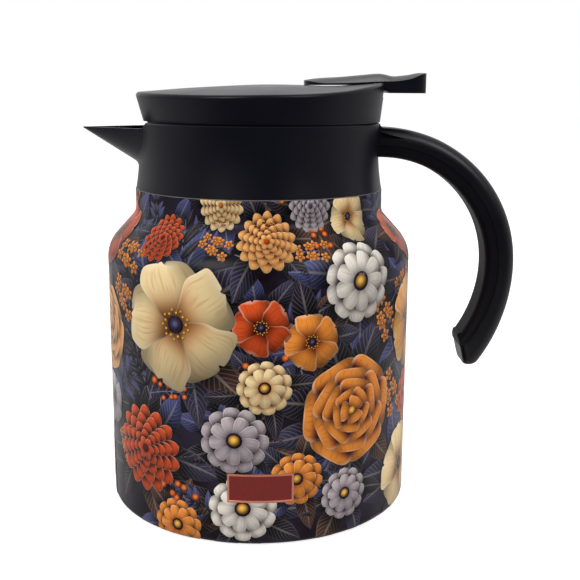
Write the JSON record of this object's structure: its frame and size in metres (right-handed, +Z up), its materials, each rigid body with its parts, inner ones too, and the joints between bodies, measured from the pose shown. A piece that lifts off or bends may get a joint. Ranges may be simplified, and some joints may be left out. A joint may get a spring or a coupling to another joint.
{
  "type": "vacuum jug",
  "caption": "Printed double-walled steel vacuum jug with black beak-spout collar, open C handle and a lid whose thumb lever lifts a pouring valve.",
  "frame": {"origin": "centre of the foot pad's underside, on the table", "axes": "+Z up along the flask's axis, spout towards -X, handle and thumb tab towards +X"},
  "size_m": [0.1715, 0.12, 0.1705],
  "materials": {
    "printed_steel": "glossy all-over floral print on dark ground",
    "flask_steel": "electropolished stainless",
    "foot_silicone": "matt anti-slip",
    "getter_alloy": "sintered",
    "moulded_black": "satin moulded polypropylene",
    "stopper_black": "satin moulded polypropylene",
    "seal_silicone": "translucent silicone",
    "fastener_steel": "bright stainless"
  },
  "bodies": {
    "vessel": {"outer_shell": "printed_steel", "inner_flask": "flask_steel", "bottom_plate": "flask_steel", "foot_pad": "foot_silicone", "getter": "getter_alloy", "collar": "moulded_black", "collar_gasket": "seal_silicone", "handle_shell": "moulded_black", "handle_grip": "moulded_black", "handle_screws": "fastener_steel"},
    "lid": {"lid_cover": "moulded_black", "lid_plate": "stopper_black", "lid_screws": "fastener_steel", "lever_pin": "fastener_steel", "stopper_cup": "stopper_black", "stopper_seal": "seal_silicone", "plug_gasket": "seal_silicone", "stem_oring": "seal_silicone", "valve_spring": "fastener_steel"},
    "thumb_lever": {"lever": "moulded_black"},
    "valve": {"valve_stem": "stopper_black", "stem_cap": "stopper_black", "valve_disc": "stopper_black", "valve_seal": "seal_silicone"}
  },
  "joints": [
    {"name": "lid_lift", "type": "slide", "parent": "vessel", "child": "lid", "axis": [0, 0, 1], "range_m": [0, 0.06]},
    {"name": "lever_press", "type": "hinge", "parent": "lid", "child": "thumb_lever", "pos_m": [0.04, 0, 0.15797], "axis": [0, 1, 0], "range_deg": [0, 6.8]},
    {"name": "valve_lift", "type": "slide", "parent": "lid", "child": "valve", "axis": [0, 0, 1], "range_m": [0, 0.00474], "stiffness_N_per_m": 200, "springref_m": -0.004, "deforming": ["valve_spring"]}
  ],
  "couplings": [
    {"joint": "lever_press", "follows": "valve_lift", "rad_per_m": 25}
  ]
}
